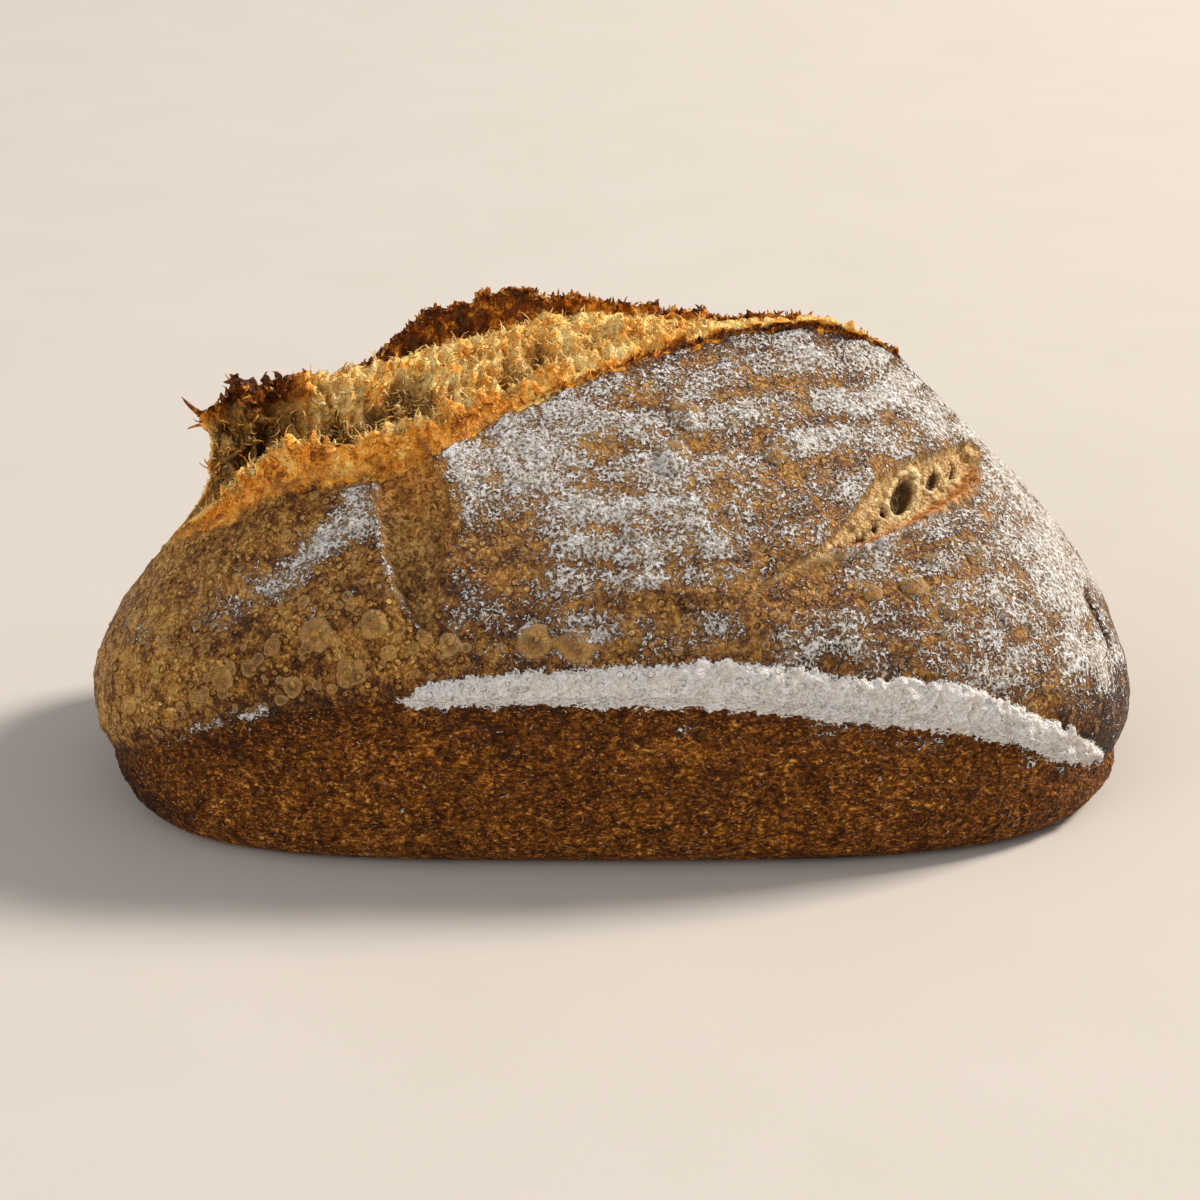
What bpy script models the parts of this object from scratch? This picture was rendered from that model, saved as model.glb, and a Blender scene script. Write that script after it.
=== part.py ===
"""Sourdough loaf: a long hearth loaf, split open along its top by one deep score.

The loaf is one closed solid in metres, with +Z up and its origin at the middle of its flat base. The low
end of the score, under the burnt ear, is at -X, and the torn side faces -Y.

Its skin is a net of sections set side by side from the left end to the right end. Each section runs from
the base up the front crust to the torn front lip, across the open crumb to the back lip, and down the
back crust to the base again.
"""

import bmesh
import bpy
import numpy as np

MM = 0.001

# Fineness of the net.
STATIONS = 72
LOWER_ROWS = 7
UPPER_ROWS = 14
CRUMB_ROWS = 15
BASE_ROWS = 5

# Flat base: how far it reaches from the middle, and how square its corners are.
BASE_LEFT = 105 * MM
BASE_RIGHT = 113 * MM
BASE_HALF_WIDTH = 57 * MM
BASE_LEFT_SQUARENESS = 3.8
BASE_RIGHT_SQUARENESS = 3.5

# Flour line: the widest ring, where the dark lower band meets the upper crust.
LINE_LEFT = 115.5 * MM
LINE_RIGHT = 122.5 * MM
LINE_HALF_WIDTH = 62 * MM
LINE_LEFT_SQUARENESS = 3.2
LINE_RIGHT_SQUARENESS = 3.2
LINE_HEIGHT = 41.5 * MM
LINE_END_HEIGHT = 10 * MM

# The score's two lips, and the crest of torn crumb between them, at a few places along the loaf.
LIP_X = np.array([-98, -91, -82, -67, -55, -38, -22, -9, 9, 23, 37, 51, 70]) * MM
FRONT_LIP_Y = np.array([-12, -17, -21, -26, -28, -28, -20, -15, -7, 0, 6, 10, 15]) * MM
FRONT_LIP_Z = np.array([62, 66, 71, 79, 81, 86, 92, 97, 101.5, 103.5, 105, 104, 97]) * MM
BACK_LIP_Y = np.array([-12, -3, 10, 24, 31, 36, 37, 36, 34, 31, 27, 22, 15]) * MM
BACK_LIP_Z = np.array([62, 66, 71, 81, 91, 102, 106, 104, 103, 102, 102, 102, 97]) * MM
CREST_Y = np.array([-12, -8, -3, 6, 11, 15, 20, 25, 21, 17, 17, 17, 15]) * MM
CREST_Z = np.array([62, 88, 94.5, 93.5, 93, 96, 98.5, 101.5, 101.5, 101, 102, 102, 97]) * MM

# Height of the torn rim above the front lip, and depth of the hollows before and behind the crest.
RIM_RISE = np.array([0, 2, 4, 5.5, 6, 5, 3, 2, 1, 1, 1, 1, 0]) * MM
FRONT_HOLLOW = np.array([0, 4, 9, 12, 9, 6, 5, 5, 4, 3, 3, 2, 0]) * MM
BACK_HOLLOW = np.array([0, 8, 13, 13, 12, 12, 11, 8, 5, 4, 3, 2, 0]) * MM
EAR_LEAN = 0.05
EAR_END = -60 * MM

# Three marks in the front crust, each from one (x, z) place to another: the short second slash on the
# right, the upright scar under the lip, and the slanting crease on the left.
SLASH = np.array([[36, 59], [91, 77]]) * MM
SLASH_HALF_WIDTH = 11 * MM
SLASH_DEPTH = 3.2 * MM
SCAR = np.array([[-44, 83], [-39, 54]]) * MM
SCAR_HALF_WIDTH = 8 * MM
SCAR_DEPTH = 2.5 * MM
CREASE = np.array([[-98, 46], [-62, 70]]) * MM
CREASE_HALF_WIDTH = 8 * MM
CREASE_DEPTH = 2.2 * MM

# Crust material.
CRUST_COLOR = (0.30, 0.13, 0.045, 1.0)
CRUST_ROUGHNESS = 0.75
SHARP_ANGLE = 50


def smooth_step(x, low, high):
    """0 below low, 1 above high, and smooth between them."""
    t = np.clip((x - low) / (high - low), 0.0, 1.0)
    return t * t * (3 - 2 * t)


def curve_through(x, places, values):
    """A smooth curve through a few values that never swings past them."""
    places = np.asarray(places, float)
    values = np.asarray(values, float)
    steps = np.diff(places)
    slopes = np.diff(values) / steps
    tangents = np.empty(len(places))
    tangents[0], tangents[-1] = slopes[0], slopes[-1]
    before, after = slopes[:-1], slopes[1:]
    both = np.where(before * after > 0, before + after, 1.0)
    tangents[1:-1] = np.where(before * after > 0, 2 * before * after / both, 0.0)
    piece = np.clip(np.searchsorted(places, x, side="right") - 1, 0, len(steps) - 1)
    length = steps[piece]
    t = (x - places[piece]) / length
    rise = 3 * t**2 - 2 * t**3
    level = values[piece] * (1 - rise) + values[piece + 1] * rise
    leave = tangents[piece] * (t - 2 * t**2 + t**3)
    arrive = tangents[piece + 1] * (t**3 - t**2)
    return level + length * (leave + arrive)


def ring(theta, sign, left, right, half_width, left_squareness, right_squareness):
    """Half of a rounded oblong seen from above: theta 0 is its left end and pi its right end."""
    cosine, sine = np.cos(theta), np.sin(theta)
    blend = smooth_step((1 - cosine) / 2, 0.2, 0.8)
    squareness = left_squareness + (right_squareness - left_squareness) * blend
    reach = np.where(cosine > 0, left, right)
    x = -reach * np.sign(cosine) * np.abs(cosine) ** (2 / squareness)
    y = sign * half_width * np.abs(sine) ** (2 / squareness)
    return np.stack([x, y, np.zeros_like(x)], axis=-1)


def bezier(start, start_handle, end_handle, end, count):
    """Rows of points from start to end, one cubic curve per station."""
    v = np.linspace(0.0, 1.0, count + 1)[:, None, None]
    return (
        (1 - v) ** 3 * start
        + 3 * (1 - v) ** 2 * v * start_handle
        + 3 * (1 - v) * v**2 * end_handle
        + v**3 * end
    )


def lip_x(theta):
    """Where each station meets the score, along the loaf."""
    share = 0.65 * (1 - np.cos(theta)) / 2 + 0.35 * theta / np.pi
    return LIP_X[0] + (LIP_X[-1] - LIP_X[0]) * share


def rail(theta, depth, height):
    """A rail along the score, through the given depths and heights."""
    x = lip_x(theta)
    return np.stack([x, curve_through(x, LIP_X, depth), curve_through(x, LIP_X, height)], axis=-1)


def crust_side(theta, sign, lower_rows, upper_rows):
    """Rows from the base over the flour line to the lip, on the front (-1) or the back (+1)."""
    base = ring(
        theta, sign, BASE_LEFT, BASE_RIGHT, BASE_HALF_WIDTH, BASE_LEFT_SQUARENESS, BASE_RIGHT_SQUARENESS
    )
    line = ring(
        theta, sign, LINE_LEFT, LINE_RIGHT, LINE_HALF_WIDTH, LINE_LEFT_SQUARENESS, LINE_RIGHT_SQUARENESS
    )
    cosine = np.cos(theta)
    line[:, 2] = LINE_HEIGHT + (LINE_END_HEIGHT - LINE_HEIGHT) * cosine**2
    if sign < 0:
        lip = rail(theta, FRONT_LIP_Y, FRONT_LIP_Z)
    else:
        lip = rail(theta, BACK_LIP_Y, BACK_LIP_Z)
    outward = ring(theta, sign, 1.0, 1.0, 1.0, 2.2, 2.2)
    outward = outward / np.linalg.norm(outward, axis=-1, keepdims=True)
    up = np.array([0.0, 0.0, 1.0])
    left_end = np.clip(cosine, 0, 1)[:, None] ** 3
    right_end = np.clip(-cosine, 0, 1)[:, None] ** 3

    height = line[:, 2:3]
    reach = 0.28 * height + (4 - 2 * left_end - 1.5 * right_end) * MM
    low_handle = base + outward * reach + up * 0.02 * height
    high_handle = line - up * 0.45 * height + outward * (2.5 - 1.5 * left_end - 0.5 * right_end) * MM
    lower = bezier(base, low_handle, high_handle, line, lower_rows)

    climb = lip - line
    low_handle = line + up * 0.33 * climb[:, 2:3] + outward * (1.5 + 13 * left_end + 15.5 * right_end) * MM
    high_handle = lip - 0.26 * climb + outward * (7 - 3 * left_end - 9 * right_end) * MM
    high_handle = high_handle + up * (3 - 3 * left_end + 4 * right_end) * MM
    upper = bezier(line, low_handle, high_handle, lip, upper_rows)
    return lower, upper


def crumb_rows(theta, count):
    """Rows of points across the open score, from just inside the front lip to just inside the back one."""
    front = rail(theta, FRONT_LIP_Y, FRONT_LIP_Z)
    back = rail(theta, BACK_LIP_Y, BACK_LIP_Z)
    crest = rail(theta, CREST_Y, CREST_Z)
    x = lip_x(theta)
    rim_rise = curve_through(x, LIP_X, RIM_RISE)[:, None]
    front_hollow = curve_through(x, LIP_X, FRONT_HOLLOW)[:, None]
    back_hollow = curve_through(x, LIP_X, BACK_HOLLOW)[:, None]
    up = np.array([0.0, 0.0, 1.0])
    rim = front + 0.09 * (crest - front) + up * rim_rise
    floor_share = 0.62 - 0.22 * smooth_step(x, EAR_END - 20 * MM, EAR_END + 20 * MM)[:, None]
    front_floor = front + floor_share * (crest - front) - up * front_hollow
    back_floor = crest + 0.55 * (back - crest) - up * back_hollow
    back_wall = crest + 0.90 * (back - crest) - up * 0.8 * back_hollow
    share = (crest - (front + back) / 2) * smooth_step(-x, -EAR_END, -LIP_X[0])[:, None]
    crest = crest - np.array([1.0, 0.0, 0.0]) * EAR_LEAN * share[:, 2:3]
    keys = np.stack([front, rim, front_floor, crest, back_floor, back_wall, back])
    places = np.linspace(0.0, 1.0, count + 2)[1:-1]
    rows = np.empty((count, len(theta), 3))
    for station in range(len(theta)):
        line = keys[:, station]
        steps = np.linalg.norm(np.diff(line, axis=0), axis=1) + 1e-6 * MM
        along = np.concatenate([[0.0], np.cumsum(steps)])
        for axis in range(3):
            rows[:, station, axis] = curve_through(places * along[-1], along, line[:, axis])
    return rows


def groove(rows, line, half_width, depth):
    """How deep a tapering groove along a line of (x, z) places is, at every point of some rows."""
    start, end = line
    run = end - start
    offset = rows[..., [0, 2]] - start
    along = np.clip((offset @ run) / (run @ run), 0.0, 1.0)
    away = np.linalg.norm(offset - along[..., None] * run, axis=-1)
    taper = np.sin(np.pi * along)
    reach = half_width * (0.3 + 0.7 * taper)
    return depth * np.sqrt(taper) * np.clip(1 - (away / reach) ** 2, 0.0, 1.0) ** 1.5


def outward_normals(rows):
    """Unit normals of a net of rows by stations, pointing out of the front crust."""
    normals = np.cross(np.gradient(rows, axis=1), np.gradient(rows, axis=0))
    return normals / np.maximum(np.linalg.norm(normals, axis=-1, keepdims=True), 1e-12)


def press_marks(rows, theta):
    """Press the slash, the scar and the crease into the front crust, fading before its two ends."""
    dent = groove(rows, SLASH, SLASH_HALF_WIDTH, SLASH_DEPTH)
    dent = dent + groove(rows, SCAR, SCAR_HALF_WIDTH, SCAR_DEPTH)
    dent = dent + groove(rows, CREASE, CREASE_HALF_WIDTH, CREASE_DEPTH)
    dent = dent * smooth_step(np.sin(theta), 0.0, 0.35)
    return rows - outward_normals(rows) * dent[..., None]


def loaf_sections(stations, lower_rows, upper_rows, crumb_count, base_count):
    """Every section of the loaf as one closed loop of points: rows by stations by xyz."""
    theta = np.linspace(0.0, np.pi, stations + 1)
    front_lower, front_upper = crust_side(theta, -1, lower_rows, upper_rows)
    back_lower, back_upper = crust_side(theta, 1, lower_rows, upper_rows)
    front_upper = press_marks(front_upper, theta)
    crumb = crumb_rows(theta, crumb_count)
    share = np.linspace(0.0, 1.0, base_count + 1)[1:-1, None, None]
    base = back_lower[0] * (1 - share) + front_lower[0] * share
    return np.concatenate(
        [front_lower, front_upper[1:], crumb, back_upper[:0:-1], back_lower[::-1], base]
    )


def loaf_faces(rows, stations):
    """Four-cornered faces between neighbouring rows and stations, pointing out of the loaf."""
    faces = []
    for row in range(rows):
        here = row * stations
        above = ((row + 1) % rows) * stations
        for station in range(stations - 1):
            faces.append((here + station, here + station + 1, above + station + 1, above + station))
    return faces


def build_loaf():
    sections = loaf_sections(STATIONS, LOWER_ROWS, UPPER_ROWS, CRUMB_ROWS, BASE_ROWS)
    rows, stations = sections.shape[:2]
    points = sections.reshape(-1, 3)
    middle = (points.min(axis=0) + points.max(axis=0)) / 2
    points = points - np.array([middle[0], middle[1], 0.0])

    mesh = bpy.data.meshes.new("loaf")
    mesh.from_pydata(points.tolist(), [], loaf_faces(rows, stations))
    net = bmesh.new()
    net.from_mesh(mesh)
    bmesh.ops.remove_doubles(net, verts=net.verts, dist=0.0001 * MM)
    bmesh.ops.recalc_face_normals(net, faces=net.faces)
    bmesh.ops.triangulate(net, faces=net.faces)
    net.to_mesh(mesh)
    net.free()
    mesh.shade_smooth()
    mesh.set_sharp_from_angle(angle=np.radians(SHARP_ANGLE))

    crust = bpy.data.materials.new("crust")
    crust.use_nodes = True
    shader = crust.node_tree.nodes["Principled BSDF"]
    shader.inputs["Base Color"].default_value = CRUST_COLOR
    shader.inputs["Roughness"].default_value = CRUST_ROUGHNESS
    shader.inputs["Metallic"].default_value = 0.0
    mesh.materials.append(crust)

    loaf = bpy.data.objects.new("loaf", mesh)
    bpy.context.scene.collection.objects.link(loaf)


for old in list(bpy.data.objects):
    bpy.data.objects.remove(old, do_unlink=True)
build_loaf()
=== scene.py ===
import math

import bpy
import numpy as np
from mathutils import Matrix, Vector


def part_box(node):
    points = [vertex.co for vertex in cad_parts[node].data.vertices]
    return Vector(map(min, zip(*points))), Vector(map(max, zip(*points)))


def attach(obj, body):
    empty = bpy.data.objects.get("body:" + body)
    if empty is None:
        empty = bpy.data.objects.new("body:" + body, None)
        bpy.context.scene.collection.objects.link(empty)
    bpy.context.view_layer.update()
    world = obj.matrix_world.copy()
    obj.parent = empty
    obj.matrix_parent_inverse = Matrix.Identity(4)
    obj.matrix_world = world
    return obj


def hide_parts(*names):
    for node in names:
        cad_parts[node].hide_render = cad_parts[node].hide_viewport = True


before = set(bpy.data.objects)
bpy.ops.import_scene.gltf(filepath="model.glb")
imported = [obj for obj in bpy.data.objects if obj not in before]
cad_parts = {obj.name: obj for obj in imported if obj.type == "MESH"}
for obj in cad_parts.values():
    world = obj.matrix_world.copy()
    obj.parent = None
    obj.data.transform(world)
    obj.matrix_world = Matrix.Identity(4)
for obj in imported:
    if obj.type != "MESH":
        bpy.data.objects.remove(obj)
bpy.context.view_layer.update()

MM = 0.001
UP = np.array([0.0, 0.0, 1.0])

# ---- the loaf's own form, later moved into the frame
LIP_X = np.array([-98, -91, -82, -67, -55, -38, -22, -9, 9, 23, 37, 51, 70]) * MM
FRONT_LIP_Y = np.array([-12, -17, -21, -26, -28, -28, -20, -15, -7, 0, 6, 10, 15]) * MM
FRONT_LIP_Z = np.array([62, 66, 71, 79, 81, 86, 92, 97, 101.5, 103.5, 105, 104, 97]) * MM
BACK_LIP_Y = np.array([-12, -3, 10, 24, 31, 36, 37, 36, 34, 31, 27, 22, 15]) * MM
BACK_LIP_Z = np.array([62, 66, 71, 81, 91, 102, 106, 104, 103, 102, 102, 102, 97]) * MM
CREST_Y = np.array([-12, -8, -3, 6, 11, 15, 20, 25, 21, 17, 17, 17, 15]) * MM
CREST_Z = np.array([62, 88, 94.5, 93.5, 93, 96, 98.5, 101.5, 101.5, 101, 102, 102, 97]) * MM
RIM_RISE = np.array([0, 2, 4, 5.5, 6, 5, 3, 2, 1, 1, 1, 1, 0]) * MM
FRONT_HOLLOW = np.array([0, 4, 9, 12, 9, 6, 5, 5, 4, 3, 3, 2, 0]) * MM
BACK_HOLLOW = np.array([0, 8, 13, 13, 12, 12, 11, 8, 5, 4, 3, 2, 0]) * MM
BASE_LEFT, BASE_RIGHT, BASE_HALF_WIDTH = 105 * MM, 113 * MM, 57 * MM
LINE_LEFT, LINE_RIGHT, LINE_HALF_WIDTH = 115.5 * MM, 122.5 * MM, 62 * MM
LINE_HEIGHT, LINE_END_HEIGHT = 41.5, 10
# Wide shallow valleys under the slash, under the scar and in a crease at the left:
# the (x, z) of both ends, half the width and the depth.
VALLEYS = (
    (((34, 61), (91, 77)), 11, 3.2),
    (((-44, 83), (-39, 54)), 8, 2.5),
    (((-98, 46), (-62, 70)), 8, 2.2),
)


def ease(x, low, high):
    """0 below low, 1 above high, and smooth between them."""
    t = np.clip((x - low) / (high - low), 0.0, 1.0)
    return t * t * (3 - 2 * t)


def fade(x, low, high):
    """1 below low, 0 above high, and smooth between them."""
    return 1 - ease(x, low, high)


def bell(distance, reach):
    """1 at no distance, about a third at reach and gone at twice reach."""
    return np.exp(-((distance / reach) ** 2))


def curve_through(x, places, values):
    """A smooth curve through a few values that never swings past them."""
    places = np.asarray(places, float)
    values = np.asarray(values, float)
    steps = np.diff(places)
    slopes = np.diff(values) / steps
    tangents = np.empty(len(places))
    tangents[0], tangents[-1] = slopes[0], slopes[-1]
    before, after = slopes[:-1], slopes[1:]
    both = np.where(before * after > 0, before + after, 1.0)
    tangents[1:-1] = np.where(before * after > 0, 2 * before * after / both, 0.0)
    piece = np.clip(np.searchsorted(places, x, side="right") - 1, 0, len(steps) - 1)
    length = steps[piece]
    t = (x - places[piece]) / length
    rise = 3 * t**2 - 2 * t**3
    level = values[piece] * (1 - rise) + values[piece + 1] * rise
    leave = tangents[piece] * (t - 2 * t**2 + t**3)
    arrive = tangents[piece + 1] * (t**3 - t**2)
    return level + length * (leave + arrive)


def ring(theta, sign, left, right, half_width, left_squareness, right_squareness):
    """Half of a rounded oblong seen from above: theta 0 is its left end and pi its right end."""
    cosine, sine = np.cos(theta), np.sin(theta)
    blend = ease((1 - cosine) / 2, 0.2, 0.8)
    squareness = left_squareness + (right_squareness - left_squareness) * blend
    reach = np.where(cosine > 0, left, right)
    x = -reach * np.sign(cosine) * np.abs(cosine) ** (2 / squareness)
    y = sign * half_width * np.abs(sine) ** (2 / squareness)
    return np.stack([x, y, np.zeros_like(x)], axis=-1)


def bezier(start, start_handle, end_handle, end, count):
    """Rows of a curved sheet from start to end, steered by two handles."""
    v = np.linspace(0.0, 1.0, count + 1)[:, None, None]
    return (
        (1 - v) ** 3 * start
        + 3 * (1 - v) ** 2 * v * start_handle
        + 3 * (1 - v) * v**2 * end_handle
        + v**3 * end
    )


def lip_x(theta):
    """Where each station of the net meets the lips: closer together towards the left end."""
    share = 0.65 * (1 - np.cos(theta)) / 2 + 0.35 * theta / np.pi
    return LIP_X[0] + (LIP_X[-1] - LIP_X[0]) * share


def rail(theta, depth, height):
    """A line along the open score from its depths (y) and heights (z) at LIP_X."""
    x = lip_x(theta)
    return np.stack([x, curve_through(x, LIP_X, depth), curve_through(x, LIP_X, height)], axis=-1)


def crust_side(theta, sign, lower_rows, upper_rows):
    """Rows from the base over the flour line to the lip, on the front (-1) or the back (+1)."""
    base = ring(theta, sign, BASE_LEFT, BASE_RIGHT, BASE_HALF_WIDTH, 3.8, 3.5)
    line = ring(theta, sign, LINE_LEFT, LINE_RIGHT, LINE_HALF_WIDTH, 3.2, 3.2)
    cosine = np.cos(theta)
    line[:, 2] = (LINE_HEIGHT + (LINE_END_HEIGHT - LINE_HEIGHT) * cosine**2) * MM
    if sign < 0:
        lip = rail(theta, FRONT_LIP_Y, FRONT_LIP_Z)
    else:
        lip = rail(theta, BACK_LIP_Y, BACK_LIP_Z)
    outward = ring(theta, sign, 1.0, 1.0, 1.0, 2.2, 2.2)
    outward = outward / np.linalg.norm(outward, axis=-1, keepdims=True)
    left_end = np.clip(cosine, 0, 1)[:, None] ** 3
    right_end = np.clip(-cosine, 0, 1)[:, None] ** 3

    height = line[:, 2:3]
    reach = 0.28 * height + (4 - 2 * left_end - 1.5 * right_end) * MM
    low_handle = base + outward * reach + UP * 0.02 * height
    high_handle = line - UP * 0.45 * height + outward * (2.5 - 1.5 * left_end - 0.5 * right_end) * MM
    lower = bezier(base, low_handle, high_handle, line, lower_rows)

    climb = lip - line
    low_handle = line + UP * 0.33 * climb[:, 2:3] + outward * (1.5 + 13 * left_end + 15.5 * right_end) * MM
    high_handle = lip - 0.26 * climb + outward * (7 - 3 * left_end - 9 * right_end) * MM
    high_handle = high_handle + UP * (3 - 3 * left_end + 4 * right_end) * MM
    upper = bezier(line, low_handle, high_handle, lip, upper_rows)
    return lower, upper


def crumb_rows(theta, count):
    """Rows across the open score, and each point's zone: 0 front lip, 1 rim, 2 front hollow,
    3 crest, 4 back hollow, 5 back wall, 6 back lip."""
    front = rail(theta, FRONT_LIP_Y, FRONT_LIP_Z)
    back = rail(theta, BACK_LIP_Y, BACK_LIP_Z)
    crest = rail(theta, CREST_Y, CREST_Z)
    x = lip_x(theta)
    rim_rise = curve_through(x, LIP_X, RIM_RISE)[:, None]
    front_hollow = curve_through(x, LIP_X, FRONT_HOLLOW)[:, None]
    back_hollow = curve_through(x, LIP_X, BACK_HOLLOW)[:, None]
    rim = front + 0.09 * (crest - front) + UP * rim_rise
    floor_share = 0.62 - 0.22 * ease(x, -80 * MM, -40 * MM)[:, None]
    front_floor = front + floor_share * (crest - front) - UP * front_hollow
    back_floor = crest + 0.55 * (back - crest) - UP * back_hollow
    back_wall = crest + 0.90 * (back - crest) - UP * 0.8 * back_hollow
    overhang = (crest - (front + back) / 2) * ease(-x, 60 * MM, 98 * MM)[:, None]
    crest = crest - np.array([1.0, 0.0, 0.0]) * 0.05 * overhang[:, 2:3]
    keys = np.stack([front, rim, front_floor, crest, back_floor, back_wall, back])
    marks = np.arange(7.0)
    places = np.linspace(0.0, 1.0, count + 2)[1:-1]
    rows = np.empty((count, len(theta), 3))
    zone = np.empty((count, len(theta)))
    for station in range(len(theta)):
        line = keys[:, station]
        steps = np.linalg.norm(np.diff(line, axis=0), axis=1) + 1e-6 * MM
        along = np.concatenate([[0.0], np.cumsum(steps)])
        for axis in range(3):
            rows[:, station, axis] = curve_through(places * along[-1], along, line[:, axis])
        zone[:, station] = np.interp(places * along[-1], along, marks)
    return rows, zone


def groove(points, line, half_width, depth):
    """How deep a tapering groove along a line of (x, z) places is, at every point."""
    start, end = np.asarray(line) * MM
    run = end - start
    offset = points[..., [0, 2]] - start
    along = np.clip((offset @ run) / (run @ run), 0.0, 1.0)
    away = np.linalg.norm(offset - along[..., None] * run, axis=-1)
    taper = np.sin(np.pi * along)
    reach = half_width * MM * (0.3 + 0.7 * taper)
    return depth * MM * np.sqrt(taper) * np.clip(1 - (away / reach) ** 2, 0.0, 1.0) ** 1.5


# ---- noise
def hashed(cells, seed):
    """Three steady random numbers from 0 to 1 for every whole-number cell."""
    c = cells.astype(np.uint32)
    n = c[..., 0] * np.uint32(73856093)
    n = n ^ (c[..., 1] * np.uint32(19349663))
    n = n ^ (c[..., 2] * np.uint32(83492791))
    n = n ^ np.uint32((seed * 2654435761) & 0xFFFFFFFF)
    out = []
    for step in (2246822519, 3266489917, 668265263):
        n = (n ^ (n >> np.uint32(15))) * np.uint32(step)
        n = n ^ (n >> np.uint32(13))
        out.append((n & np.uint32(0xFFFFFF)).astype(np.float32) / np.float32(0xFFFFFF))
    return np.stack(out, axis=-1)


def noise(points, size, seed):
    """Smooth noise, about -1 to 1, with features of the given size in mm."""
    q = points / (size * MM) + (seed * 13.71 + 500.0)
    cell = np.floor(q)
    f = q - cell
    cell = cell.astype(np.int64)
    u = f * f * f * (f * (f * 6 - 15) + 10)
    total = 0.0
    for corner in np.ndindex(2, 2, 2):
        step = np.array(corner)
        slope = hashed(cell + step, seed) * 2 - 1
        weight = np.prod(np.where(step == 1, u, 1 - u), axis=-1)
        total = total + weight * ((f - step) * slope).sum(axis=-1)
    return total * 1.7


def cells(points, size, seed):
    """Distances to the nearest two of scattered places, in cell sizes, and the nearest one's number."""
    q = points / (size * MM) + (seed * 7.31 + 500.0)
    home = np.floor(q).astype(np.int64)
    first = np.full(points.shape[:-1], 9.0)
    second = np.full(points.shape[:-1], 9.0)
    number = np.zeros(points.shape[:-1])
    for corner in np.ndindex(3, 3, 3):
        cell = home + (np.array(corner) - 1)
        spot = hashed(cell, seed)
        away = np.linalg.norm(cell + spot - q, axis=-1)
        nearer = away < first
        second = np.where(nearer, first, np.minimum(second, away))
        number = np.where(nearer, spot[..., 0] * 7.13 % 1.0, number)
        first = np.where(nearer, away, first)
    return first, second, number


def blob(points, x, z, half_x, half_z, slant=0.0):
    """A soft patch on the front, full in its middle and gone at about 1.5 times its half sizes."""
    dx = points[..., 0] / MM - x
    dz = points[..., 2] / MM - z - slant * dx
    return np.exp(-((dx / half_x) ** 2 + (dz / half_z) ** 2))


# ---- the net of the whole loaf
STATIONS = 640
LOWER_ROWS = 70
UPPER_ROWS = 150
CRUMB_COUNT = 150
BASE_COUNT = 10

random = np.random.default_rng(11)
theta = np.linspace(0.0, np.pi, STATIONS + 1)
station_x = lip_x(theta) / MM
front_lower, front_upper = crust_side(theta, -1, LOWER_ROWS, UPPER_ROWS)
back_lower, back_upper = crust_side(theta, 1, LOWER_ROWS, UPPER_ROWS)
crumb, crumb_zone = crumb_rows(theta, CRUMB_COUNT)
share = np.linspace(0.0, 1.0, BASE_COUNT + 1)[1:-1, None, None]
base = back_lower[0] * (1 - share) + front_lower[0] * share
net = np.concatenate(
    [front_lower, front_upper[1:], crumb, back_upper[:0:-1], back_lower[::-1], base]
)
LINE = LOWER_ROWS
LIP = LOWER_ROWS + UPPER_ROWS
BACK_LIP = LIP + CRUMB_COUNT + 1
BACK_LINE = BACK_LIP + UPPER_ROWS
BACK_BASE = BACK_LINE + LOWER_ROWS
ROWS = len(net)


def net_normals(points):
    """Outward directions at every point of the net, alike where its two ends close up."""
    along = np.gradient(points, axis=1)
    up = np.roll(points, -1, axis=0) - np.roll(points, 1, axis=0)
    normals = np.cross(along, up)
    for row in range(LIP + 1):
        mirror = BACK_LIP + (LIP - row)
        for end in (0, -1):
            both = normals[row, end] / (np.linalg.norm(normals[row, end]) + 1e-15)
            other = normals[mirror, end] / (np.linalg.norm(normals[mirror, end]) + 1e-15)
            normals[row, end] = normals[mirror, end] = both + other
    normals[LIP + 1 : BACK_LIP, [0, -1]] = (0.0, 0.0, 1.0)
    normals[LIP, [0, -1]] = normals[BACK_LIP, [0, -1]] = (0.0, 0.0, 1.0)
    normals[BACK_BASE + 1 :] = (0.0, 0.0, -1.0)
    return normals / (np.linalg.norm(normals, axis=-1, keepdims=True) + 1e-15)


normals = net_normals(net)
seams = np.diff(net, axis=0, append=net[:1])
steps = np.linalg.norm(seams, axis=-1)
climb = np.cumsum(steps, axis=0) - steps
above = climb - climb[LINE]
above[BACK_LIP:] = climb[BACK_LINE] - climb[BACK_LIP:]
to_lip = np.abs(climb - climb[LIP])
to_back_lip = np.abs(climb - climb[BACK_LIP])
x, y, z = (net[..., axis] / MM for axis in range(3))
above, to_lip, to_back_lip = above / MM, to_lip / MM, to_back_lip / MM
rows = np.arange(ROWS)[:, None] * np.ones(STATIONS + 1)
is_crumb = (rows > LIP) & (rows < BACK_LIP)
is_front = rows <= LIP
is_upper = ((rows >= LINE) & (rows <= LIP)) | ((rows >= BACK_LIP) & (rows <= BACK_LINE))
is_lower = (rows < LINE) | ((rows > BACK_LINE) & (rows <= BACK_BASE))
is_base = rows > BACK_BASE
zone = np.zeros_like(x)
zone[LIP + 1 : BACK_LIP] = crumb_zone
zone[BACK_LIP] = 6
front_side = ease(-y, -4, 4)
ends_free = ease(np.sin(theta), 0.0, 0.12) * np.ones_like(x)

# Noise shared by shape and colour.
n40, n20, n12 = noise(net, 40, 1), noise(net, 20, 2), noise(net, 12, 3)
n6, n3 = noise(net, 6, 4), noise(net, 2.8, 5)
n15, n09 = noise(net, 1.5, 6), noise(net, 0.95, 7)

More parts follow.
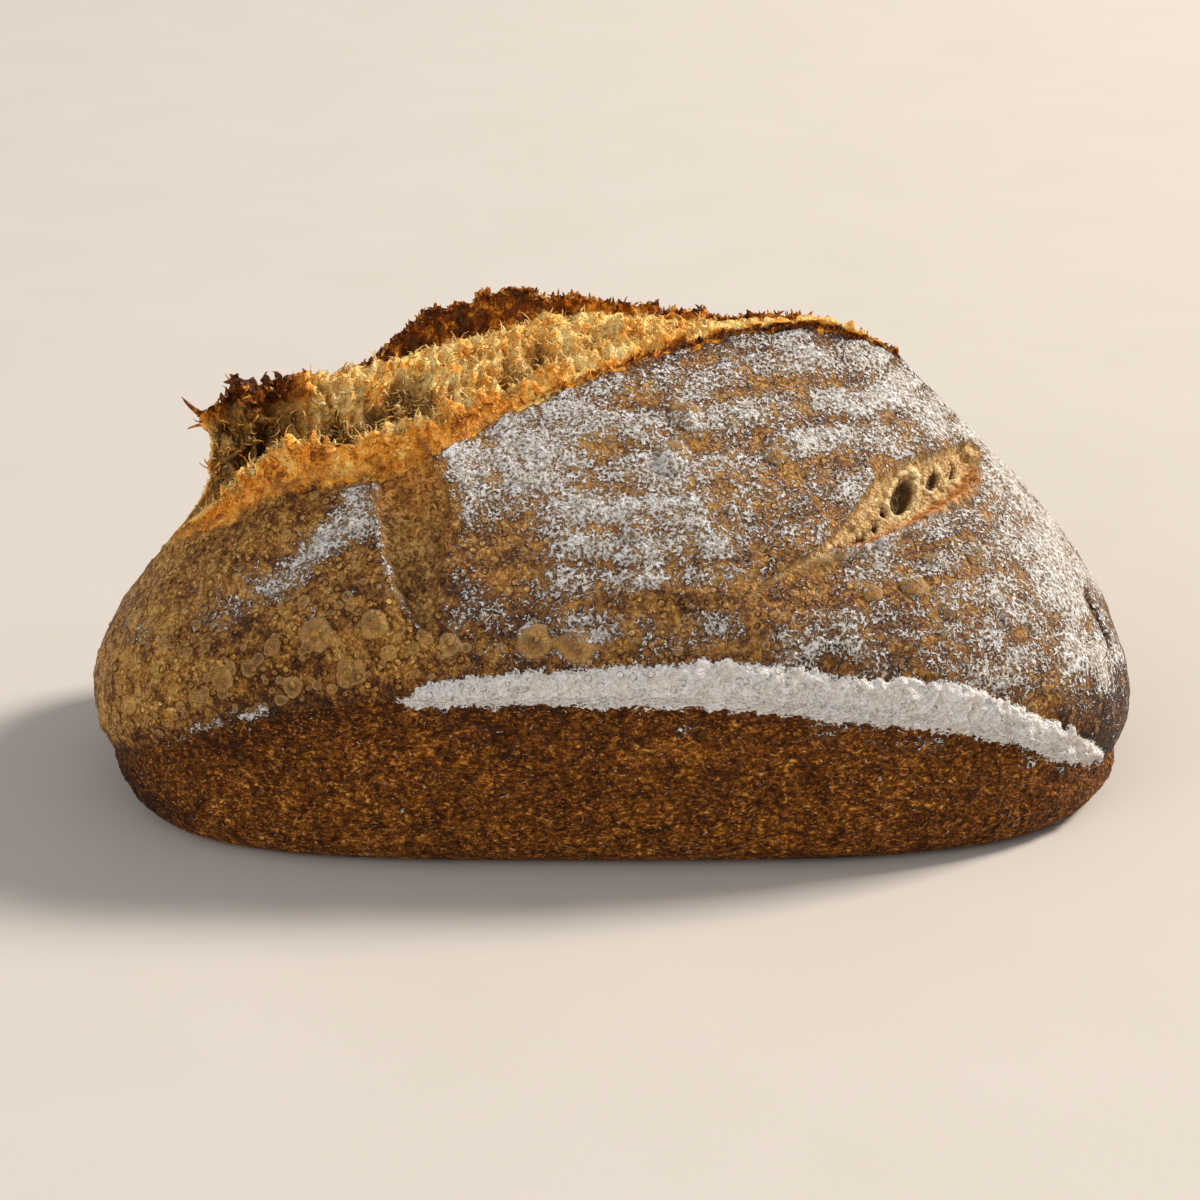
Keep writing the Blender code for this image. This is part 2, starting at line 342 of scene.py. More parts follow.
# ---- flour
# Patches on the front: x, z, half sizes along both, slant and strength.
FLOUR_PATCHES = (
    (-22, 86, 17, 7, 0.15, 0.82),
    (-4, 78, 20, 7, 0.0, 0.55),
    (9, 68, 13, 6, 0.0, 0.60),
    (12, 84, 6, 5, 0.0, 0.75),
    (28, 66, 12, 5, 0.1, 0.40),
    (46, 99, 24, 7, -0.05, 0.60),
    (80, 84, 14, 8, -0.8, 0.65),
    (104, 60, 12, 16, -1.5, 0.92),
    (114, 40, 8, 9, -1.2, 0.70),
    (92, 42, 18, 8, -0.4, 0.50),
    (68, 52, 26, 9, 0.0, 0.48),
    (62, 86, 18, 8, -0.2, 0.48),
    (90, 56, 14, 10, -0.4, 0.42),
    (46, 68, 12, 8, 0.2, 0.34),
    (34, 54, 24, 4, 0.0, 0.30),
    (-4, 56, 20, 4, 0.0, 0.24),
    (-53, 77, 5, 7, 0.0, 0.90),
    (-62, 69, 11, 5, 0.60, 0.92),
    (-76, 60, 12, 5, 0.50, 0.82),
    (-90, 53, 9, 5, 0.5, 0.56),
    (-106, 44, 7, 4, 0.3, 0.42),
    (-60, 58, 14, 4, 0.3, 0.42),
)
# Patches where that flour is thinner: x, z, half sizes along both and strength.
THIN_PATCHES = ((18, 61, 16, 2.6, 0.65), (44, 66, 9, 5, 0.5), (-24, 69, 13, 8, 0.45))
flour = 0.36 * ease(x + 3 * n6, -42, -34) * ease(z, 48, 68)
flour = flour + 0.34 * ease(x + 3 * n6 + 2 * n12, -46, -30)
for px, pz, half_x, half_z, slant, strength in FLOUR_PATCHES:
    patch = blob(net, px, pz, half_x, half_z, slant)
    flour = 1 - (1 - flour) * (1 - strength * patch)
back_flour = ease(z, 26, 66) * (0.78 + 0.4 * n40 + 0.34 * n20)
back_flour = back_flour * (0.55 + 0.45 * ease(x, -90, -30))
right_end = ease(x + 3 * n12, 90, 108) * ease(z + 3 * n6, 31, 43) * (0.9 + 0.2 * n12)
flour = np.maximum(flour * front_side + back_flour * (1 - front_side), right_end)
flour = np.clip(flour + (0.22 * n12 + 0.16 * n6 + 0.08 * n20) * ease(flour, 0.05, 0.4), 0, 1)
thin_here = sum(strength * blob(net, *patch) for *patch, strength in THIN_PATCHES)
flour = flour * (1 - np.where(is_front, thin_here, 0))

# Bare stripes left by the rings of the proving basket.
STRIPE_HEIGHT, STRIPE_SPACING = 87.6, 6.8
phase = (z - STRIPE_HEIGHT) / STRIPE_SPACING + 0.25 * noise(net, 30, 8) + 0.10 * n12
stripe = 0.5 + 0.5 * np.cos(2 * np.pi * phase)
stripes_on = ease(x, -22, 6) * fade(x, 84, 100) * ease(above, 10, 22)
stripes_on = np.where(is_front, stripes_on, 0.5) * np.clip(0.75 + 0.7 * noise(net, 18, 9), 0, 1) * is_upper
flour = flour * (1 - 0.34 * stripe**3 * stripes_on)

# The slash, the scar and the torn edges are bare. The slash: the height of its middle and half
# its opening at places along x, and its holes as x, z and half sizes.
SLASH_X = [32, 41, 50, 56, 63, 70, 80, 87, 91]
SLASH_Z = [61.0, 66.0, 69.5, 71.8, 74.4, 75.8, 76.5, 76.3, 76.0]
SLASH_HALF_HEIGHT = [0.2, 0.4, 0.7, 2.0, 4.1, 4.3, 3.2, 1.9, 0.3]
SLASH_HOLES = (
    (70.2, 76.4, 3.4, 2.5), (78.0, 77.2, 1.9, 1.3), (83.2, 76.8, 1.1, 0.8), (65.2, 74.4, 1.0, 0.8),
    (63.0, 72.4, 0.9, 0.8), (59.0, 70.8, 2.0, 0.7), (54.0, 69.8, 1.7, 0.6),
)
slash_half = curve_through(x, SLASH_X, SLASH_HALF_HEIGHT)
slash_along = np.clip((x - SLASH_X[0]) / (SLASH_X[-1] - SLASH_X[0]), 0, 1)
slash_across = z - curve_through(x, SLASH_X, SLASH_Z)
slash_open = slash_half + (0.6 * n3 + 0.4 * n15) * (0.3 + slash_along)
slash_side = is_front * (y < 5)
slash_mask = ease(slash_open - np.abs(slash_across), -0.6, 0.6) * slash_side
slash_mask = slash_mask * ease(slash_along, 0.0, 0.03) * fade(slash_along, 0.98, 1.0)

# The scar: the x of its left and right edge at several heights.
SCAR_Z = [54, 57, 63, 71, 77, 82, 85, 88]
SCAR_LEFT = [-37.0, -40.0, -44.5, -48.0, -49.4, -49.8, -49.6, -48.5]
SCAR_RIGHT = [-37.3, -36.8, -35.8, -34.6, -34.0, -35.2, -37.6, -43.0]
scar_z = np.clip(z, SCAR_Z[0], SCAR_Z[-1])
scar_left = curve_through(scar_z, SCAR_Z, SCAR_LEFT) + 0.5 * n3 + 0.3 * n15
scar_right = curve_through(scar_z, SCAR_Z, SCAR_RIGHT) + 0.9 * n3 + 0.6 * n15 + 0.8 * n6
in_front = is_front * (y < -10)
scar_depth = np.minimum(x - scar_left, scar_right - x)
in_scar = ease(z, 52, 55) * in_front
scar_mask = ease(scar_depth, -0.4, 0.8) * in_scar * fade(z, 87, 89)
beside_scar = ease(x - scar_right + 1.6 * n3 + 1.2 * n6, 0.0, 5.0)
beside_scar = np.where(in_scar * (x > scar_left) * (z < 89) > 0, 0.5 + 0.5 * beside_scar, 1.0)
flour = flour * (1 - 0.86 * slash_mask) * (1 - 0.96 * scar_mask) * beside_scar
scar_ridge = bell(x - scar_left + 0.5, 0.8)
scar_ridge = scar_ridge + 0.8 * bell(x - scar_right - 0.5, 0.7)
scar_ridge = scar_ridge * ease(z, 52, 57) * fade(z, 82, 85) * in_front
scar_ridge = scar_ridge * np.clip(0.7 + 0.6 * n15 + 0.4 * n3, 0, 1)
scar_line = np.clip(1.5 * bell(x - scar_left + 0.6, 0.9) * ease(z, 53, 56), 0, 1)
flour = np.maximum(flour, scar_line * in_front * (0.75 + 0.3 * n3))

# The thick line of flour along the basket's rim.
# Its upper and lower edge are measured along the crust from the rim, at places along x.
RIDGE_X = [-48, -43, -34.5, -16.5, 11, 23, 42, 56, 78, 91, 106, 115, 119]
RIDGE_TOP = [-0.5, 0.8, 4.3, 5.5, 7.2, 8.4, 7.2, 6.3, 8.2, 7.0, 4.6, 1.5, -1]
RIDGE_BOTTOM = [0.5, -1.2, -2, -2.3, -2.2, -2.6, -3.5, -5.0, -3.6, -3.4, -4.0, -2.4, -1]
edge = 0.9 * n3 + 0.7 * n15 + 0.5 * n6
ridge_top = curve_through(x, RIDGE_X, RIDGE_TOP) + edge
ridge_bottom = curve_through(x, RIDGE_X, RIDGE_BOTTOM) + edge
inside = np.minimum(ridge_top - above, above - ridge_bottom)
on_line = is_front * ease(x, -47, -42) * fade(x, 114, 118) * (y < -10)
ridge = ease(inside, -1.5, 1.1) * on_line
ridge_body = np.clip(inside / 2.4, 0, 1) ** 0.6 * on_line
old_line = bell(above - 2.0 - 0.5 * n6, 2.6) * is_front * ease(x, -101, -95)
old_line = old_line * (1 - 0.9 * ease(x, -75, -70)) * (y < -10)
old_line = old_line * fade(x, -56, -50) * ease(n3 + n6, -0.7, 0.4)
back_line = bell(above - 2.5 - 0.8 * n6, 3.0) * (1 - front_side)
back_line = back_line * ease(n20 + n12, -0.9, 0.1)
flour = np.maximum(flour, np.maximum(0.85 * old_line, 0.92 * back_line) * (is_upper | is_lower))
spill = bell(above + 6, 4) * is_front * ease(n6 + 0.6 * n12, 0.05, 0.7)
spill = spill * ease(x, -45, 0)
flour = np.where(is_lower, np.maximum(flour * ease(above, -3, 0), 0.62 * spill), flour)
torn = np.where(is_crumb, 1.0, 0.0)
edge_distance = np.minimum(to_lip, to_back_lip)
edge_reach = 1.0 + 2.2 * ease(-x, 30, 60) * is_front
ragged = edge_distance + 1.4 * n3 + 0.6 * n15 + 1.2 * n6
torn = np.maximum(torn, fade(ragged / edge_reach, -0.2, 2.2))
flour = flour * (1 - torn)
flour = np.where(is_crumb | is_base, 0, flour)

# ---- baking colour, 0 pale to 1 burnt; paler at the left end as painted light, and darker in the crack as painted shade
bake_and_shading = 0.36 + 0.12 * n20 + 0.10 * n6
bake_and_shading = bake_and_shading + 0.22 * fade(above, 0, 9) + 0.30 * ease(x, 100, 118) * fade(z, 30, 48)
bake_and_shading = bake_and_shading + 0.25 * fade(to_lip, 0, 9) * ease(x, 0, 20)
# Towards the left end the upper crust is made paler: painted sunlight, not a paler bake.
bake_and_shading = bake_and_shading + 0.05 * ease(x, 0, 70) - 0.12 * ease(-x, 84, 104) * ease(above, 4, 12)
band = 0.50 + 0.10 * n20 + 0.08 * n6 + 0.08 * n3
band = band + 0.12 * ease(above, -12, -2) - 0.12 * ease(-x, 70, 112)
burnt_patch = np.exp(-(((x + 105) / 9) ** 2 + ((z - 7) / 6) ** 2)) * (y < -12)
band = band + 0.5 * burnt_patch
bake_and_shading = np.where(is_lower, band, bake_and_shading)
bake_and_shading = np.where(is_base, 0.78 + 0.12 * n12 + 0.1 * n3, bake_and_shading)
bake_and_shading = np.where(is_lower | is_upper, bake_and_shading + 0.09 * (1 - front_side), bake_and_shading)

# ---- shape: crust
lift = 0.45 * n12 + 0.26 * n6 + 0.15 * n3 + 0.07 * n15 + 0.04 * n09
lift = lift - 0.32 * stripe**2 * stripes_on + 0.18 * flour * is_upper
lift = lift - sum(groove(net, *valley) for valley in VALLEYS) / MM * is_front * (y < 0)

# How many small blisters are strewn about, what share of them on the front, and the net's finest
# spacing in mm; then the largest blisters on the front, as x, z and radius.
SMALL_BLISTERS, FRONT_SHARE, NET_STEP = 900, 0.62, 0.33
BLISTERS = (
    (-106.9, 44.7, 2.9), (-98.2, 44.7, 2.0), (-77.5, 44.6, 2.2), (-62.2, 53.4, 3.9), (-49.4, 56.2, 3.6),
    (-38.4, 54.2, 2.0), (-32.8, 52.4, 2.9), (-54.8, 45.9, 3.8), (-83.4, 41.5, 2.8), (-67.8, 41.9, 2.6),
    (-111.5, 36.9, 2.0), (-106.8, 30.2, 2.3), (91.5, 51.8, 2.3), (69.8, 60.9, 3.0), (85.2, 63.3, 3.0),
    (60.7, 61.1, 2.4), (77.7, 55.4, 2.0), (75.0, 64.5, 2.3), (76.4, 52.5, 1.8), (99.3, 52.4, 2.0),
    (-14.7, 53.5, 4.0), (-4.9, 52.4, 4.4), (16.0, 86.1, 4.2), (19.3, 92.2, 3.8), (8.5, 73.8, 2.8),
    (39.4, 84.3, 2.6), (-90.0, 36.0, 2.4), (-46.0, 50.5, 2.0), (-72.0, 50.0, 2.3),
)
blister, fringe = np.zeros_like(x), np.zeros_like(x)


def raise_blister(row, station, radius, height):
    """One blister: a dome with a faint crease round its foot."""
    reach = int(radius * 1.35 / NET_STEP) + 3
    top, bottom = max(0, row - reach), min(ROWS, row + reach + 1)
    left, right = max(0, station - reach), min(STATIONS + 1, station + reach + 1)
    spot = (slice(top, bottom), slice(left, right))
    away = np.linalg.norm(net[spot] - net[row, station], axis=-1) / MM / radius
    away = away * (1 + 0.2 * n6[spot] + 0.2 * n3[spot] + 0.1 * n15[spot])
    dome = np.clip(1 - away**2, 0, 1) ** 0.8
    crease = bell(away - 1.12, 0.14)
    lift[spot] += height * (dome - 0.16 * crease)
    blister[spot] = np.maximum(blister[spot], dome)
    if radius > 2.5:
        fringe[spot] = np.maximum(fringe[spot], bell(away - 1.0, 0.24))


for bx, bz, radius in BLISTERS:
    gap = (x[LINE:LIP] - bx) ** 2 + (z[LINE:LIP] - bz) ** 2
    row, station = np.unravel_index(np.argmin(gap), gap.shape)
    raise_blister(row + LINE, station, radius, 0.30 * radius + 0.30)
count = 0
while count < SMALL_BLISTERS:
    if random.random() < FRONT_SHARE:
        row = int(random.integers(LINE + 8, LIP - 6))
    else:
        row = int(random.integers(BACK_LIP + 6, BACK_LINE - 6))
    station = int(random.integers(4, STATIONS - 4))
    wanted = 0.25 + 0.75 * ease(-x[row, station], -10, 60) * fade(above[row, station], 24, 40)
    size = 0.55 + 1.0 * random.random() ** 2.2
    chance = random.random()
    if chance > wanted or slash_mask[row, station] > 0.1 or scar_mask[row, station] > 0.2:
        continue
    raise_blister(row, station, size, 0.36 * size)
    count += 1

flour = np.maximum(flour, 0.95 * fringe * ease(x, -42, -20) * (0.8 + 0.6 * n3) * (torn < 0.1))

# Lower band: small flakes and pits.
flake, _, _ = cells(net, 2.3, 21)
fine_flake, _, _ = cells(net, 1.25, 22)
pebbles = (0.55 - flake) * 0.75 + (0.5 - fine_flake) * 0.35
lift = np.where(is_lower, 0.35 * n12 + 0.22 * n6 + 0.2 * n3 + pebbles * 0.8 + 0.14 * n15, lift)
lift = np.where(is_lower, lift * ease(z, 0.0, 5.0), lift)
over_line = ease(above, -3.0, 3.0)
crust_lift = 0.35 * n12 + 0.22 * n6 + 0.15 * n3 + 0.08 * n15
near_line = (is_upper | is_lower) & (np.abs(above) < 3.0) & (blister < 0.01)
lift = np.where(near_line, crust_lift + (1 - over_line) * pebbles * 0.6, lift)
lift = lift + ridge_body * (1.5 + 0.7 * n6 + 0.6 * n3 + 0.3 * n15) + 0.5 * old_line
lift = np.where(is_base, 0, lift)

# The slash's open crumb, its big holes and its raised lower lip.
slash_first, slash_second, _ = cells(net, 3.2, 31)
lift = lift - slash_mask * (1.2 + 0.8 * ease(slash_second - slash_first, 0.02, 0.4))
lower_lip = bell(slash_across + slash_open + 0.6, 1.0) * slash_side
lower_lip = lower_lip * ease(slash_along, 0.15, 0.45) * fade(slash_along, 0.93, 1.0)
lift = lift + 1.9 * lower_lip
upper_lip = bell(slash_across - slash_open - 0.4, 0.8) * slash_side
upper_lip = upper_lip * ease(slash_along, 0.4, 0.7) * fade(slash_along, 0.95, 1.0)
lift = lift + 0.6 * upper_lip
hole_rim = np.zeros_like(x)
hole_deep = np.zeros_like(x)
for hx, hz, hole_x, hole_z in SLASH_HOLES:
    away = np.sqrt(((x - hx) / hole_x) ** 2 + ((z - hz - 0.25 * (x - hx)) / hole_z) ** 2)
    deep = ease(1 - away, -0.05, 0.35) * slash_side
    rim = bell(away - 1.15, 0.16) * slash_side
    lift = lift - deep * min(3.4, 1.1 * hole_z + 0.8) + 0.45 * rim
    hole_rim = np.maximum(hole_rim, rim)
    hole_deep = np.maximum(hole_deep, deep)
lift = lift + scar_mask * (0.5 * (0.5 - slash_first) + 0.3 * n15 - 1.2) + 0.7 * scar_ridge

# A short crack on the right shoulder.
CRACK_Z, CRACK_X = [34, 40, 45, 50], [119.5, 117.2, 115.0, 112.5]
crack = x - curve_through(z, CRACK_Z, CRACK_X)
crack = bell(crack, 0.5) * ease(z, 36, 39) * fade(z, 46, 49)
crack = crack * is_front * (y < 0)
lift = lift - 1.8 * crack
# The crack is painted darker along its line: painted shade in it.
bake_and_shading = bake_and_shading + 0.5 * crack
flour = flour * (1 - 0.8 * crack)

# ---- shape: torn crumb
tear = net * np.array([1.0, 0.55, 0.8])
big, big_next, big_number = cells(tear + MM * 1.6 * np.stack([n6, n3, n6], -1), 8.5, 41)
small, small_next, _ = cells(tear + MM * 0.8 * np.stack([n3, n6, n3], -1), 3.6, 42)
tiny, tiny_next, _ = cells(tear, 1.7, 43)
crest_near = bell(zone - 3.0, 0.55)
rim_near = bell(zone - 0.95, 0.45)
open_here = ease(zone, 0.5, 1.3) * fade(zone, 5.3, 5.9)
open_here = open_here * ease(station_x, -98, -90) * fade(station_x, 55, 70)
hollow = ease(big_next - big, 0.05, 0.45) * ease(big_number, 0.35, 0.5)
small_hollow = ease(small_next - small, 0.05, 0.5)
tiny_hollow = ease(tiny_next - tiny, 0.05, 0.5)
crumb_lift = 0.7 * n6 + 0.5 * n3 + 0.25 * n15
pits = 4.6 * hollow * (1 - 0.6 * crest_near) + 2.1 * small_hollow * (1 - 0.4 * crest_near)
crumb_lift = crumb_lift - open_here * (pits + 0.8 * tiny_hollow - 2.0)
crumb_lift = crumb_lift + rim_near * (1.6 * n3 + 1.2 * n15 + 0.5)
lift = np.where(is_crumb, crumb_lift * ends_free, lift)

# Crumb colour, 0 pale to 1 burnt, with painted shade in hollows and a painted highlight on the rim's top; and
# how far a place lies in painted shade.
left_part = ease(-x, 5, 30)
toast_and_shading = 0.14 + 0.16 * n6 + 0.14 * n3 + 0.08 * n15
toast_and_shading = toast_and_shading + 0.28 * fade(zone, 0.95, 1.25) * left_part
right_edge = fade(zone, 0.35, 1.0) * ease(x, -14, 12)
# On the left the rim's top is made paler: a painted highlight.
toast_and_shading = toast_and_shading + 0.46 * right_edge - 0.18 * bell(zone - 1.05, 0.22) * left_part
ear = ease(-x, 64, 75) * ease(zone + 0.25 * n3, 2.45, 2.85)
ear = ear * fade(zone, 4.2, 5.0) * ease(z, 84, 91) * fade(-x, 95, 99)
toast_and_shading = toast_and_shading + 0.62 * ear
back_edge = ease(zone + 0.3 * n3, 5.0, 5.7)
# Darker inside the back hollow and on the back lip's inner face: painted shade.
back_inside = ease(zone, 4.3, 5.0) * ease(-x, -5, 25) * ease(x, -66, -50)
toast_and_shading = toast_and_shading + 0.30 * back_inside + 0.26 * back_edge + 0.12 * back_inside * n6
# Darker in the big hollows: painted shade.
toast_and_shading = toast_and_shading + 0.14 * hollow * open_here * (1 - ear)
# A row of pockets under the crest, sunk into the crumb and painted in shade.
teeth = ease(noise(net * np.array([1, 0.3, 0.3]), 4.6, 61), -0.15, 0.35)
teeth = teeth * ease(zone, 1.85, 2.15) * fade(zone, 2.6, 2.85)
teeth = teeth * ease(x, -66, -58) * fade(x, -14, -2)
lift = lift - np.where(is_crumb, 2.2 * teeth, 0)
toast_and_shading = np.clip(toast_and_shading, 0, 1)
# Painted shade: in the valley behind the rim, under the ear, in the pockets and teeth, and in a strip along
# the crust.
valley = ease(zone, 1.25, 1.6) * fade(zone, 2.25, 2.7) * ease(-x, 20, 55)
under_ear = ease(zone, 1.25, 1.6) * fade(zone, 2.6, 2.95) * ease(-x, 64, 74)
pocket_depth = 1.0 * hollow * (1 - 0.45 * ease(x, -22, 5)) + 0.15 * small_hollow
shade = np.maximum(0.7 * valley, 0.95 * under_ear)
shade = shade + pocket_depth * open_here * (1 - 0.5 * crest_near) + 0.8 * teeth
near_crust = 0.30 * fade(zone, 0.1, 0.5) * left_part * (is_crumb | (is_front & is_upper))
shade = np.clip(np.maximum(shade * is_crumb, near_crust) + 0.25 * n3, 0, 1) * (1 - ear)

# Ragged lips: the torn edges rise and dip with the tear.
drawn_out = net * np.array([1, 0.2, 0.2])
rag = noise(drawn_out, 3.4, 51) + 0.7 * noise(drawn_out, 1.6, 52)
jag = noise(drawn_out, 7.0, 53)
near_front = bell(to_lip, 2.2) * ends_free
near_back = bell(to_back_lip, 3.0) * ends_free
near_crest = bell(zone - 3.0, 0.28) * ends_free * is_crumb
rise = near_front * (0.2 + 0.8 * ease(x, -15, 15)) * (0.75 * rag + 0.4 * jag)
rise = rise + near_back * (1.3 * rag + 0.9 * jag - 0.6)
rise = rise + near_crest * ease(-x, 45, 75) * (1.3 * rag + 0.8 * jag)

# The left end's open wall stands a little inward, and the ear leans out over it.
points = net + normals * (lift * MM)[..., None]
left_wall = ease(-x, 74, 92) * (5.5 * ease(z, 60, 72) - 3.5 * ease(z, 82, 88))
points[..., 0] += left_wall * MM
over_left = ease(-x, 56, 68)
lean = bell(zone - 2.95, 0.30) * over_left * fade(-x, 92, 97) * is_crumb
recess = bell(zone - 2.2, 0.35) * over_left * fade(-x, 88, 95) * is_crumb
points[..., 1] -= (3.6 * lean * (1 + 0.5 * n3) - 2.5 * recess) * MM
points[..., 2] += 0.8 * lean * n15 * MM
points[..., 2] += rise * MM
points[..., 1] -= near_front * 0.7 * MM
for row in range(LIP + 1):
    mirror = BACK_LIP + (LIP - row)
    for end in (0, -1):
        points[row, end] = points[mirror, end] = (points[row, end] + points[mirror, end]) / 2
points[LIP : BACK_LIP + 1, 0] = points[LIP, 0]
points[LIP : BACK_LIP + 1, -1] = points[LIP, -1]

# ---- into the frame
low, high = (np.array(corner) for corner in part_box("loaf"))
raw_low, raw_high = net.reshape(-1, 3).min(axis=0), net.reshape(-1, 3).max(axis=0)
# The undisplaced net keeps CLEAR of the CAD box, and no point comes nearer to it than EDGE.
CLEAR = np.array([0.5, 0.5, 0.0]) * MM
EDGE = 0.02 * MM
scale = (high - low - 2 * CLEAR) / (raw_high - raw_low)
shift = (low + high) / 2 - scale * (raw_low + raw_high) / 2
shift[2] = 0.0


def placed(spots):
    """Points of the loaf's own form, moved into the frame and kept inside its box."""
    spots = spots * scale + shift
    return np.clip(spots, low + EDGE, high - EDGE)


points = placed(points)
points[BACK_BASE + 1 :, :, 2] = 0.0
points[0, :, 2] = points[BACK_BASE, :, 2] = 0.0


# ---- meshes
SAME_PLACE = 0.002 * MM  # points of the net nearer than this are made one


def make_mesh(name, spots, faces, attributes, material):
    """A piece of the loaf from points, face corners and named numbers at its points."""
    mesh = bpy.data.meshes.new(name)
    mesh.from_pydata(spots.tolist(), [], faces)
    for label, values in attributes.items():
        layer = mesh.attributes.new(label, "FLOAT", "POINT")
        layer.data.foreach_set("value", np.asarray(values, np.float32).ravel())
    mesh.shade_smooth()
    mesh.materials.append(material)
    piece = bpy.data.objects.new(name, mesh)
    bpy.context.scene.collection.objects.link(piece)
    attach(piece, "root")
    return piece


def net_piece(name, row_list, material, labels):
    """One stretch of the net as a mesh, with points that share a place made one."""
    count = STATIONS + 1
    spots = points[row_list].reshape(-1, 3)
    keys = np.round(spots / SAME_PLACE).astype(np.int64)
    number = np.arange(len(spots))
    row_starts = np.arange(len(row_list)) * count
    ends = np.concatenate([row_starts, row_starts + STATIONS])
    _, first_of, inverse = np.unique(keys[ends], axis=0, return_index=True, return_inverse=True)
    number[ends] = ends[first_of[inverse.ravel()]]
    here = (np.arange(len(row_list) - 1)[:, None] * count + np.arange(STATIONS)).ravel()
    joined = np.array([after - row in (1, 1 - ROWS) for row, after in zip(row_list, row_list[1:])])
    here = here[np.repeat(joined, STATIONS)]
    corners = number[np.stack([here, here + 1, here + 1 + count, here + count], axis=1)]
    used, corners = np.unique(corners, return_inverse=True)
    corners = corners.reshape(-1, 4)
    faces = []
    for corner in corners.tolist():
        face = [c for i, c in enumerate(corner) if c != corner[i - 1]]
        if len(face) > 2:
            faces.append(face)
    layers = {label: fields[label][row_list].ravel()[used] for label in labels}
    return make_mesh(name, spots[used], faces, layers, material)


fields = {
    "flour": np.clip(flour, 0, 1),
    "ridge": np.clip(ridge, 0, 1),
    "bake_and_shading": np.clip(bake_and_shading, 0, 1),
    "blister": np.clip(blister, 0, 1),
    "bare": np.clip(slash_mask + 2.0 * lower_lip, 0, 2),
    "dent": np.clip(scar_mask, 0, 1),
    # deep: in the scar it grows downwards, so the scar is drawn golden at its top and darker lower down; in
    # the slash it is high in the holes, painted shade there, and below zero on their rims, which are drawn
    # paler.
    "deep": np.clip(np.where(scar_mask > 0, (84 - z + 3 * n6) / 24, hole_deep - 0.8 * hole_rim), -1, 1),
    "torn": np.clip(torn, 0, 1),
    "toast_and_shading": toast_and_shading,
    "shade": shade,
}


# ---- materials
def tone(red, green, blue):
    """A colour given as it looks on screen, 0 to 255, as linear light."""
    channels = []
    for channel in (red, green, blue):
        c = channel / 255
        channels.append(c / 12.92 if c <= 0.04045 else ((c + 0.055) / 1.055) ** 2.4)
    return (*channels, 1.0)


class Shader:
    """One material's nodes, with short names for the few kinds in use."""

    def __init__(self, name, roughness):
        self.material = bpy.data.materials.new(name)
        self.material.use_nodes = True
        self.tree = self.material.node_tree
        self.surface = self.tree.nodes["Principled BSDF"]
        self.surface.inputs["Roughness"].default_value = roughness
        where = self.tree.nodes.new("ShaderNodeTexCoord").outputs["Object"]
        in_mm = {0: where, 1: (1 / MM,) * 3}
        self.place = self.new("ShaderNodeVectorMath", in_mm, operation="MULTIPLY").outputs[0]

    def new(self, kind, inputs, **settings):
        node = self.tree.nodes.new(kind)
        for key, value in settings.items():
            setattr(node, key, value)
        for key, value in inputs.items():
            if isinstance(value, bpy.types.NodeSocket):
                self.tree.links.new(value, node.inputs[key])
            else:
                node.inputs[key].default_value = value
        return node

    def math(self, operation, a, b=0.0, c=0.0):
        return self.new("ShaderNodeMath", {0: a, 1: b, 2: c}, operation=operation).outputs[0]

    def centred(self, value):
        return self.math("SUBTRACT", value, 0.5)

    def field(self, label):
        return self.new("ShaderNodeAttribute", {}, attribute_name=label).outputs["Fac"]

    def noise(self, size, detail=2.0, distortion=0.0):
        inputs = {"Vector": self.place, "Scale": 1.0 / size, "Detail": detail}
        inputs.update({"Roughness": 0.5, "Distortion": distortion})
        return self.new("ShaderNodeTexNoise", inputs).outputs["Fac"]

    def spots(self, size):
        inputs = {"Vector": self.place, "Scale": 1.0 / size, "Randomness": 1.0}
        return self.new("ShaderNodeTexVoronoi", inputs, feature="F1")

    def step(self, value, low, high, out_low=0.0, out_high=1.0):
        inputs = {"Value": value, "From Min": low, "From Max": high, "To Min": out_low, "To Max": out_high}
        node = self.new("ShaderNodeMapRange", inputs, interpolation_type="SMOOTHSTEP", clamp=True)
        return node.outputs["Result"]

    def ramp(self, value, stops):
        node = self.new("ShaderNodeValToRGB", {"Fac": value})
        elements = node.color_ramp.elements
        elements[0].position, elements[0].color = stops[0][0], tone(*stops[0][1])
        elements[-1].position, elements[-1].color = stops[-1][0], tone(*stops[-1][1])
        for at, colour in stops[1:-1]:
            elements.new(at).color = tone(*colour)
        return node.outputs["Color"]

    def mix(self, factor, a, b):
        node = self.new("ShaderNodeMix", {}, data_type="RGBA", blend_type="MIX")
        for socket, value in zip((node.inputs[0], node.inputs[6], node.inputs[7]), (factor, a, b)):
            if isinstance(value, bpy.types.NodeSocket):
                self.tree.links.new(value, socket)
            elif isinstance(value, tuple) and len(value) == 3:
                socket.default_value = tone(*value)
            else:
                socket.default_value = value
        return node.outputs[2]

    def bump(self, height, distance, strength=1.0, below=None):
        inputs = {"Height": height, "Distance": distance * MM, "Strength": strength}
        if below is not None:
            inputs["Normal"] = below
        return self.new("ShaderNodeBump", inputs).outputs["Normal"]

    def finish(self, colour, roughness, normal):
        for name, value in (("Base Color", colour), ("Roughness", roughness), ("Normal", normal)):
            self.tree.links.new(value, self.surface.inputs[name])
        return self.material


def even(s, size, detail=2.0, distortion=0.0):
    """Noise spread over the whole of 0 to 1."""
    return s.step(s.noise(size, detail, distortion), 0.30, 0.70)


def worms(s, size, bands=2.0, distortion=1.6):
    """Winding lines side by side, 1 along each crest."""
    wave = s.math("SINE", s.math("MULTIPLY", s.noise(size, 0.6, distortion), 2 * math.pi * bands))
    return s.math("MULTIPLY_ADD", wave, 0.5, 0.5)


def weigh(s, *parts):
    """A weighted sum of numbers in the node tree; a bare number is a constant."""
    total = None
    for part in parts:
        value = s.math("MULTIPLY", *part) if isinstance(part, tuple) else part
        total = value if total is None else s.math("ADD", total, value)
    return total


